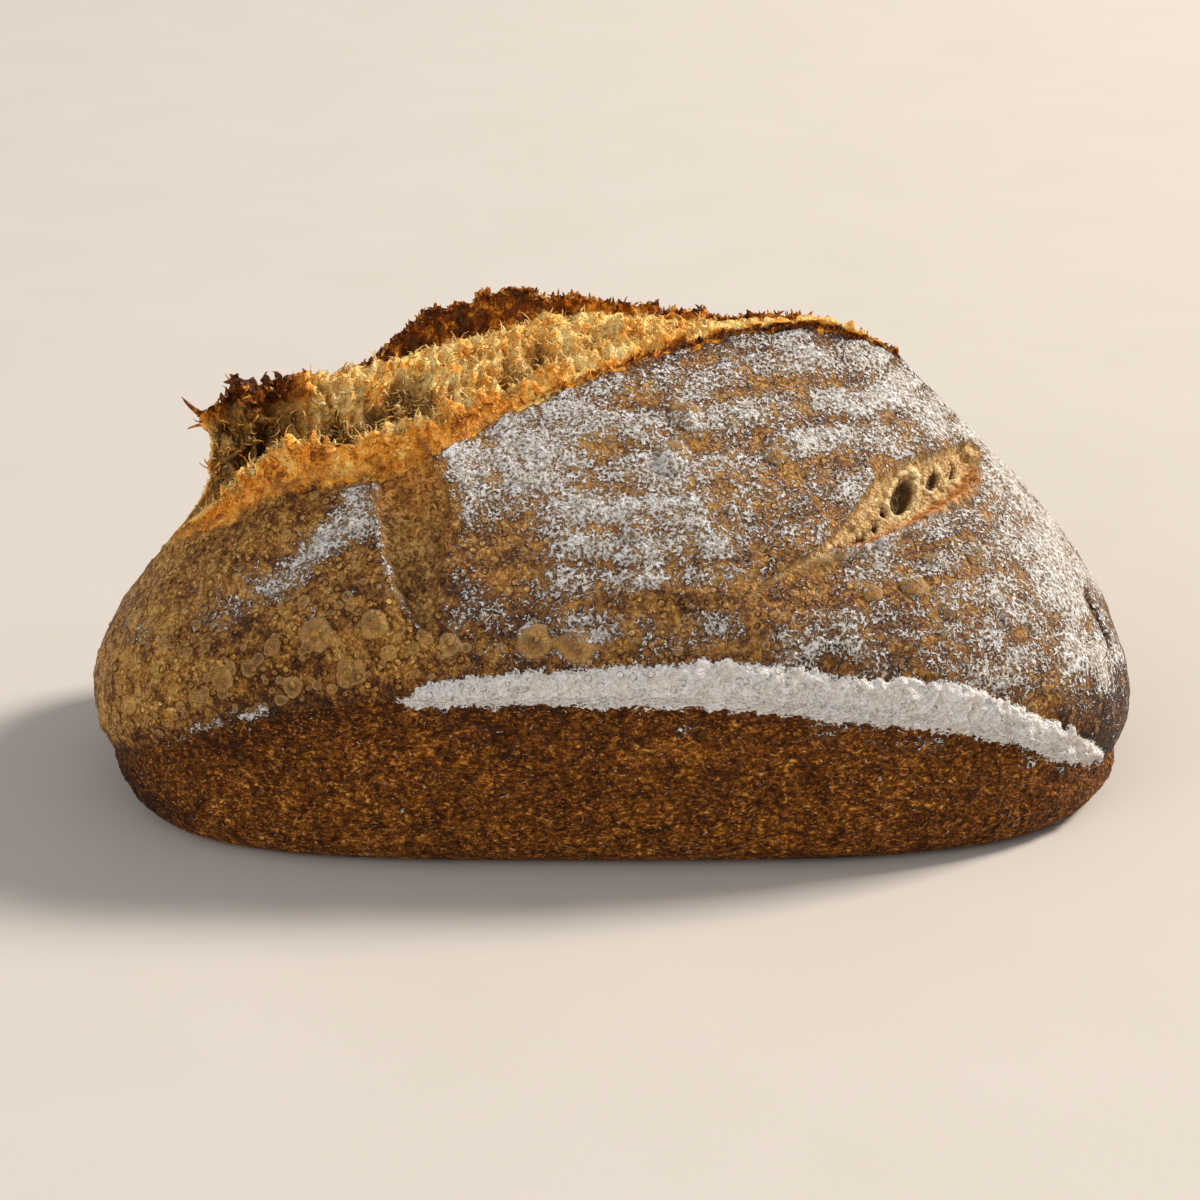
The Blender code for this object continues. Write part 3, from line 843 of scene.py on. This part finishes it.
POWDER = ((0.0, (98, 76, 54)), (0.35, (162, 149, 133)), (0.7, (212, 208, 203)), (1.0, (240, 241, 244)))
LUMPS = ((0.0, (182, 173, 163)), (0.4, (217, 212, 207)), (0.7, (232, 229, 226)), (1.0, (245, 244, 243)))
CRUST = (
    (0.0, (222, 178, 104)), (0.22, (184, 134, 62)), (0.45, (140, 92, 34)), (0.7, (86, 48, 13)),
    (1.0, (34, 16, 4)),
)
FLESH = ((0.1, (146, 106, 56)), (0.45, (202, 160, 100)), (0.8, (238, 210, 158)))
SCAR_SKIN = ((0.12, (62, 38, 12)), (0.4, (132, 92, 42)), (0.75, (196, 152, 90)))
SCAR_GOLD = ((0.12, (118, 66, 18)), (0.45, (190, 124, 50)), (0.8, (228, 170, 92)))
CRUMB = (
    (0.0, (255, 227, 156)), (0.2, (255, 206, 111)), (0.42, (250, 160, 48)), (0.66, (148, 76, 18)),
    (1.0, (50, 25, 8)),
)
BAND = (
    (0.0, (236, 170, 80)), (0.3, (172, 108, 38)), (0.55, (122, 69, 17)), (0.78, (84, 44, 10)),
    (1.0, (50, 25, 6)),
)


def powder_layer(s, skin, flour_field, ridge_field, mottle, fine, grain, wide, narrow):
    """Flour over the skin: worm-like clumps where it is thin, a full coat where it is thick."""
    clump = weigh(s, (wide, 0.22), (narrow, 0.38), (fine, 0.15), (grain, 0.25))
    reach = weigh(s, 1.03, (flour_field, -1.06), (s.centred(mottle), -0.16))
    over = s.math("SUBTRACT", clump, reach)
    cover = s.math("MULTIPLY", s.step(over, -0.05, 0.14), s.step(flour_field, 0.02, 0.16))
    # White dots: specks of flour, which also stand in for painted glints on the crust.
    speck = s.spots(1.7)
    dot = s.step(speck.outputs["Distance"], 0.08, 0.17, 1.0, 0.0)
    chance = s.new("ShaderNodeSeparateColor", {"Color": speck.outputs["Color"]}).outputs[0]
    dot = s.math("MULTIPLY", s.math("MULTIPLY", dot, s.step(chance, 0.60, 0.62)), 0.8)
    cover = s.math("MAXIMUM", cover, dot)
    fuzz = weigh(s, ridge_field, (s.centred(narrow), 0.35), (s.centred(grain), 0.5))
    thick = s.step(fuzz, 0.30, 0.55)
    shade = weigh(s, (grain, 0.30), (narrow, 0.25), (fine, 0.30), (over, 0.5))
    powder = s.ramp(shade, POWDER)
    lump = s.ramp(weigh(s, (grain, 0.35), (narrow, 0.25), (fine, 0.40)), LUMPS)
    lump = s.mix(s.math("MULTIPLY", mottle, 0.4), lump, (226, 211, 190))
    colour = s.mix(s.math("MULTIPLY", flour_field, 0.05), skin, (176, 160, 142))
    colour = s.mix(s.math("MULTIPLY", cover, 0.96), colour, powder)
    return s.mix(thick, colour, lump), s.math("MAXIMUM", cover, thick)


def crust_material():
    s = Shader("crust_looks", 0.6)
    s.surface.inputs["Specular IOR Level"].default_value = 0.16
    flour_field, ridge_field, bake_and_shading_field = s.field("flour"), s.field("ridge"), s.field("bake_and_shading")
    blister_field, bare_field, dent_field = s.field("blister"), s.field("bare"), s.field("dent")
    torn_field, deep_field = s.field("torn"), s.field("deep")
    toast_and_shading_field, shade_field = s.field("toast_and_shading"), s.field("shade")
    mottle, fine, grain = even(s, 4.5, 2.0, 0.6), even(s, 1.3, 2.0, 0.8), even(s, 0.8, 1.0)
    wide, narrow = worms(s, 2.4, 1.6, 2.0), worms(s, 1.6, 1.5, 2.2)

    # Small bubbles: a paler disc with a dark ring round its foot, painted shade in the crease.
    bubble = s.spots(2.3)
    chance = s.new("ShaderNodeSeparateColor", {"Color": bubble.outputs["Color"]}).outputs[0]
    chosen = s.step(chance, 0.50, 0.56)
    disc = s.math("MULTIPLY", s.step(bubble.outputs["Distance"], 0.24, 0.34, 1.0, 0.0), chosen)
    foot = s.math("ABSOLUTE", s.math("SUBTRACT", bubble.outputs["Distance"], 0.38))
    foot = s.math("MULTIPLY", s.step(foot, 0.0, 0.07, 1.0, 0.0), chosen)
    level = weigh(s, bake_and_shading_field, (s.centred(mottle), 0.30), (s.centred(fine), 0.36),
                  (s.centred(wide), -0.26), (s.centred(narrow), -0.28),
                  (disc, -0.20), (foot, 0.22))
    skin = s.ramp(level, CRUST)
    # Blisters are paler crust, drawn palest on their flanks and less on top, painted light and shade that
    # model the dome; the dark ring at their foot is painted shade in the crease.
    pale = s.mix(fine, (168, 120, 58), (224, 184, 120))
    ring = s.math("MULTIPLY", s.step(blister_field, 0.0, 0.06), s.step(blister_field, 0.12, 0.34, 1.0, 0.0))
    dome = s.math("MULTIPLY", s.step(blister_field, 0.12, 0.45), s.step(blister_field, 0.5, 1.0, 0.5, 0.16))
    skin = s.mix(dome, skin, pale)
    skin = s.mix(s.math("MULTIPLY", ring, 0.30), skin, (62, 34, 10))
    flesh_level = weigh(s, (fine, 0.45), (mottle, 0.25), (narrow, 0.30))
    flesh = s.ramp(flesh_level, FLESH)
    # The slash's holes are painted dark, painted shade in them, and their rims are drawn paler.
    flesh = s.mix(s.step(deep_field, 0.05, 0.7, 0.0, 0.9), flesh, (84, 56, 24))
    flesh = s.mix(s.step(deep_field, -0.6, -0.1, 0.8, 0.0), flesh, (244, 216, 160))
    flesh = s.mix(s.step(bare_field, 1.1, 1.7), flesh, s.mix(fine, (150, 84, 34), (228, 158, 88)))
    skin = s.mix(bare_field, skin, flesh)
    dent_skin = s.ramp(flesh_level, SCAR_SKIN)
    gold = s.ramp(flesh_level, SCAR_GOLD)
    dent_skin = s.mix(s.step(deep_field, -0.1, 0.6), gold, dent_skin)
    skin = s.mix(dent_field, skin, dent_skin)
    colour, cover = powder_layer(s, skin, flour_field, ridge_field, mottle, fine, grain, wide, narrow)

    # Torn crumb, pale to burnt, with painted olive shade in its pockets and hollows.
    strand = worms(s, 2.0, 1.5, 2.6)
    open_level = weigh(s, toast_and_shading_field, (s.centred(mottle), 0.18), (s.centred(fine), 0.26),
                       (s.centred(strand), -0.20))
    crumb = s.ramp(open_level, CRUMB)
    pocket_shade_colour = s.mix(weigh(s, (fine, 0.6), (strand, 0.4)), (110, 70, 26), (218, 156, 80))
    crumb = s.mix(s.step(shade_field, 0.0, 0.75, 0.0, 0.80), crumb, pocket_shade_colour)
    # The deepest painted shade, darker still.
    crumb = s.mix(s.step(shade_field, 0.6, 1.1, 0.0, 0.75), crumb, s.mix(fine, (50, 29, 9), (136, 94, 44)))
    split = weigh(s, torn_field, (s.centred(fine), 0.4), (s.centred(grain), 0.4))
    split = s.step(split, 0.4, 0.6)
    colour = s.mix(split, colour, crumb)
    cover = s.math("MULTIPLY", cover, s.math("SUBTRACT", 1.0, split))
    rough = weigh(s, 0.46, (cover, 0.34), (fine, 0.16))
    height = weigh(s, (cover, 0.45), (fine, 0.40), (wide, 0.22), (narrow, 0.22), (disc, 0.3), (foot, -0.3),
                   (s.math("MULTIPLY", strand, split), 0.5))
    normal = s.bump(height, 0.75, 0.9)
    normal = s.bump(grain, 0.14, 0.7, normal)
    return s.finish(colour, rough, normal)


def band_material():
    s = Shader("band_looks", 0.6)
    s.surface.inputs["Specular IOR Level"].default_value = 0.10
    # The band's flakes are drawn out a little along the loaf.
    stretch = {0: s.place, 1: (0.7, 1.0, 1.1)}
    s.place = s.new("ShaderNodeVectorMath", stretch, operation="MULTIPLY").outputs[0]
    flour_field, ridge_field, bake_and_shading_field = s.field("flour"), s.field("ridge"), s.field("bake_and_shading")
    mottle, fine, grain = even(s, 5.0, 2.0, 0.8), even(s, 1.4, 2.0, 1.2), even(s, 0.8, 1.0)
    wide, narrow = worms(s, 2.8, 1.8, 2.4), worms(s, 1.8, 1.7, 2.8)
    flake = s.spots(1.5)
    level = weigh(s, bake_and_shading_field, (s.centred(mottle), 0.10), (s.centred(fine), 0.28),
                  (s.centred(wide), -0.15), (s.centred(narrow), -0.40),
                  (s.centred(grain), 0.26), (s.math("SUBTRACT", flake.outputs["Distance"], 0.4), 0.35))
    skin = s.ramp(level, BAND)
    colour, cover = powder_layer(s, skin, flour_field, ridge_field, mottle, fine, grain, wide, narrow)
    rough = weigh(s, 0.44, (cover, 0.36), (fine, 0.16))
    height = weigh(s, (fine, 0.45), (wide, 0.35), (narrow, 0.35), (cover, 0.3))
    normal = s.bump(height, 0.8, 0.95)
    normal = s.bump(grain, 0.14, 0.7, normal)
    return s.finish(colour, rough, normal)


crust_looks, band_looks = crust_material(), band_material()
CRUST_LABELS = ("flour", "ridge", "bake_and_shading", "blister", "bare", "dent", "deep", "torn", "toast_and_shading", "shade")
BAND_LABELS = ("flour", "ridge", "bake_and_shading")
BAND_ROWS = [*range(BACK_LINE, BACK_BASE + 1), *range(LINE + 1)]
pieces = [
    net_piece("crust_front", list(range(LINE, LIP + 1)), crust_looks, CRUST_LABELS),
    net_piece("crust_back", list(range(BACK_LIP, BACK_LINE + 1)), crust_looks, CRUST_LABELS),
    net_piece("crumb", list(range(LIP, BACK_LIP + 1)), crust_looks, ("toast_and_shading", "shade", "torn")),
    net_piece("band", BAND_ROWS, band_looks, BAND_LABELS),
    net_piece("base", [*range(BACK_BASE, ROWS), 0], band_looks, BAND_LABELS),
]


# ---- strands and shards
def strands(name, roots, aims, lengths, widths, thins, values, curls, segments=4):
    """Tapered slivers with three-cornered sections, each growing from a root and curling to a tip."""
    count = len(roots)
    aims = aims / np.linalg.norm(aims, axis=1, keepdims=True)
    side = np.cross(aims, random.normal(size=(count, 3)))
    side = side / (np.linalg.norm(side, axis=1, keepdims=True) + 1e-9)
    other = np.cross(aims, side)
    t = np.linspace(0.0, 1.0, segments + 1)
    turn = curls[:, None] * t
    ahead = (lengths / curls)[:, None] * np.sin(turn)
    aside = (lengths / curls)[:, None] * (1 - np.cos(turn))
    centre = roots[:, None] + ahead[..., None] * aims[:, None] + aside[..., None] * side[:, None]
    heading = np.cos(turn)[..., None] * side[:, None] - np.sin(turn)[..., None] * aims[:, None]
    taper = ((1 - t) ** 0.6)[None, :, None, None]
    angle = np.arange(3) * 2 * np.pi / 3
    wide = np.cos(angle)[None, None, :, None] * other[:, None, None] * widths[:, None, None, None]
    thin = np.sin(angle)[None, None, :, None] * heading[:, :, None] * thins[:, None, None, None]
    body = (centre[:, :, None] + (wide + thin) * taper)[:, :-1]
    spots = np.concatenate([body.reshape(count, -1, 3), centre[:, -1:]], axis=1)
    per = segments * 3 + 1
    tip = (segments - 1) * 3
    pattern = []
    for level in range(segments - 1):
        for corner in range(3):
            a, b = level * 3 + corner, level * 3 + (corner + 1) % 3
            pattern.append((a, b, b + 3, a + 3))
    pattern.extend([(tip + c, tip + (c + 1) % 3, per - 1) for c in range(3)])
    pattern.append((2, 1, 0))
    faces = [tuple(index * per + c for c in face) for index in range(count) for face in pattern]
    along = np.concatenate([np.repeat(t[:-1], 3), [1.0]])
    layer = np.clip(values[:, None] + 0.16 * (along - 0.5)[None], 0, 1).ravel()
    spots = np.clip(spots.reshape(-1, 3), low, high)
    return make_mesh(name, spots, faces, {"toast_and_shading": layer, "torn": np.ones(layer.size)}, crust_looks)


surface_normals = net_normals(points)

# Fibres of the torn crumb: fine ones, and as many thick curls, most on the rim and the crest's front.
FIBRES, CURLS = 3000, 3000
spacing = np.linalg.norm(np.gradient(points, axis=1), axis=-1) * steps
flat_points, flat_normals = points.reshape(-1, 3), surface_normals.reshape(-1, 3)


def fibres(name, count, chance, length, width, pale, lean, curl, segments):
    """Fibres on the torn crumb; length, width and curl are (least, most), and pale lightens them."""
    weights = (chance * spacing * is_crumb * ends_free).ravel()
    picked = random.choice(weights.size, count, p=weights / weights.sum())
    roots = flat_points[picked] - flat_normals[picked] * 0.4 * MM
    aims = flat_normals[picked] * 0.7 + np.array(lean) + random.normal(size=(count, 3)) * 0.6
    aims = aims + droop.ravel()[picked][:, None] * np.array([0.0, -0.5, -1.1])
    lengths = (length[0] + (length[1] - length[0]) * random.random(count) ** 1.8) * MM
    widths = (width[0] + (width[1] - width[0]) * random.random(count) ** 1.5) * MM
    values = toast_and_shading.ravel()[picked] - pale + 0.14 * random.normal(size=count)
    # Fibres under the ear are darkened: painted shade.
    values = np.clip(values + 0.2 * under_ear.ravel()[picked], 0.0, 0.95)
    curls = curl[0] + (curl[1] - curl[0]) * random.random(count)
    return strands(name, roots, aims, lengths, widths, widths * 0.6, values, curls, segments)


open_front = ease(zone, 0.35, 0.7) * fade(x, 35, 62)
rim_top = bell(zone - 1.05, 0.28) * fade(x, -12, 6)
comb = ease(zone, 2.0, 2.5) * fade(zone, 3.3, 3.8) * fade(x, 10, 40)
back_hang = ease(zone, 4.6, 5.4)
calm = (1 - 0.7 * ear) * (1 - 0.75 * under_ear)
droop = ease(zone, 2.2, 2.5) * fade(zone, 2.8, 3.0) * fade(x, -10, 5)
fine_chance = open_front * (0.25 + 0.9 * rim_top + 0.9 * comb + 0.2 * back_hang) * calm
thick_chance = 1.4 * rim_top + (1.0 * comb + 0.14 * open_front) * calm
pieces.append(fibres(
    "crumb_fibres", FIBRES, fine_chance, length=(0.8, 2.3), width=(0.10, 0.20), pale=0.08,
    lean=(0, -0.15, 0.3), curl=(0.4, 2.2), segments=3,
))
pieces.append(fibres(
    "crumb_curls", CURLS, thick_chance, length=(1.6, 4.4), width=(0.22, 0.48), pale=0.10,
    lean=(0.2, -0.1, 0.35), curl=(1.0, 3.4), segments=5,
))

# Bits of the burnt ear, and three splinters that stick out to the left: root, aim, length, width, toast, curl.
EAR_BITS = 90
SPLINTERS = (
    ((-89.0, -9.5, 87.3), (-1.0, -0.1, 0.55), 9.5, 1.5, 0.52, 0.5),
    ((-88.5, -9.0, 86.0), (-1.0, -0.2, 0.30), 7.0, 1.2, 0.45, 0.7),
    ((-88.0, -10.0, 88.0), (-0.9, -0.2, 0.7), 5.0, 1.1, 0.6, 0.4),
)
spots_of_ear = np.flatnonzero(((ear > 0.4) & (zone > 2.55) & (zone < 3.3) & is_crumb).ravel())
picked = random.choice(spots_of_ear, EAR_BITS)
roots = flat_points[picked]
aims = np.array([-0.6, -0.5, 0.15]) + random.normal(size=(EAR_BITS, 3)) * 0.5
lengths = random.uniform(1.0, 3.0, EAR_BITS) * MM
widths = random.uniform(0.5, 1.2, EAR_BITS) * MM
values = np.clip(0.66 + 0.12 * random.normal(size=EAR_BITS), 0, 1)
curls = random.uniform(0.3, 1.6, EAR_BITS)
pieces.append(strands("ear_bits", roots, aims, lengths, widths, widths * 0.4, values, curls))
roots, aims, lengths, widths, values, curls = (np.array(column) for column in zip(*SPLINTERS))
roots, lengths, widths = placed(roots * MM), lengths * MM, widths * MM
pieces.append(strands("ear_splinters", roots, aims, lengths, widths, widths * 0.6, values, curls, 6))


def shards(name, row, count, weight, length, width, value, outward):
    """Flakes along one of the torn lips."""
    station = random.choice(STATIONS + 1, count, p=weight / weight.sum())
    roots = points[row, station] - UP * 0.7 * MM
    aims = UP * 0.9 + outward * 0.5 + random.normal(size=(count, 3)) * 0.5
    lengths = (length[0] + (length[1] - length[0]) * random.random(count) ** 2) * MM
    widths = (width[0] + (width[1] - width[0]) * random.random(count)) * MM
    values = np.clip(value[station] + 0.14 * random.normal(size=count), 0, 1)
    curls = 0.2 + 1.2 * random.random(count)
    return strands(name, roots, aims, lengths, widths, widths * 0.35, values, curls)


FRONT_SHARDS, BACK_SHARDS = 560, 620
spread = np.linalg.norm(np.gradient(points[LIP], axis=0), axis=-1)
front_value = 0.34 + 0.36 * ease(station_x, -15, 25)
front_weight = spread * ease(station_x, -30, 5)
pieces.append(shards(
    "front_lip_shards", LIP + 2, FRONT_SHARDS, front_weight, length=(0.8, 2.4), width=(0.35, 1.0),
    value=front_value, outward=np.array([0.0, -0.4, 0.0]),
))
spread = np.linalg.norm(np.gradient(points[BACK_LIP], axis=0), axis=-1)
back_weight = spread * ease(station_x, -75, -50)
back_value = np.full(STATIONS + 1, 0.56)
pieces.append(shards(
    "back_lip_shards", BACK_LIP, BACK_SHARDS, back_weight, length=(0.8, 2.8), width=(0.5, 1.3),
    value=back_value, outward=np.array([0.0, 0.3, 0.0]),
))

for piece in pieces:
    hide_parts("loaf")

# ---- floor, light and camera
FLOOR_HALF_SIDE = 12.0


def floor_material():
    s = Shader("floor_looks", 0.9)
    soft = s.noise(60.0, 3.0, 0.3)
    colour = s.mix(soft, (195, 187, 177), (201, 193, 184))
    rough = s.math("ADD", s.math("MULTIPLY", soft, 0.1), 0.82)
    return s.finish(colour, rough, s.bump(s.noise(1.6, 2.0), 0.08, 0.4))


floor_mesh = bpy.data.meshes.new("floor")
floor_corners = np.array([(-1, -1, 0), (1, -1, 0), (1, 1, 0), (-1, 1, 0)]) * FLOOR_HALF_SIDE
floor_mesh.from_pydata(floor_corners.tolist(), [], [(0, 1, 2, 3)])
floor_mesh.materials.append(floor_material())
floor = bpy.data.objects.new("floor", floor_mesh)
bpy.context.scene.collection.objects.link(floor)


def area_light(name, place, aim, power, size, colour):
    """A square light of the given side, in metres and watts, turned to its aim."""
    data = bpy.data.lights.new(name, "AREA")
    data.energy, data.size, data.color = power, size, colour
    lamp = bpy.data.objects.new(name, data)
    lamp.location = place
    lamp.rotation_euler = (Vector(aim) - Vector(place)).to_track_quat("-Z", "Y").to_euler()
    bpy.context.scene.collection.objects.link(lamp)


SKY, SKY_STRENGTH = (0.98, 0.98, 1.0), 0.42
area_light(
    "key", place=(4.4, 2.0, 3.66), aim=(0, 0, 0.04), power=548.0, size=1.4, colour=(1.0, 0.945, 0.87)
)
area_light("fill", place=(-0.9, -1.3, 0.7), aim=(0, 0, 0.05), power=11.0, size=1.4, colour=SKY)
world = bpy.data.worlds.new("studio")
world.use_nodes = True
background = world.node_tree.nodes["Background"]
background.inputs["Color"].default_value = (*SKY, 1.0)
background.inputs["Strength"].default_value = SKY_STRENGTH
bpy.context.scene.world = world
bpy.context.scene.view_settings.view_transform = "Standard"

# The camera looks down on the loaf's front with a long lens, as in the photo.
ELEVATION = math.radians(22)
DISTANCE = 0.66
TARGET_Y, TARGET_HEIGHT = -0.0145, 0.045
LENS, SENSOR_WIDTH = 85, 36
target = Vector((shift[0], TARGET_Y, TARGET_HEIGHT))
camera = bpy.data.objects.new("camera", bpy.data.cameras.new("camera"))
camera.data.lens = LENS
camera.data.sensor_width = SENSOR_WIDTH
camera.location = target + Vector((0, -DISTANCE * math.cos(ELEVATION), DISTANCE * math.sin(ELEVATION)))
camera.rotation_euler = (target - camera.location).to_track_quat("-Z", "Y").to_euler()
camera.data.clip_start = 0.01
bpy.context.scene.collection.objects.link(camera)
bpy.context.scene.camera = camera
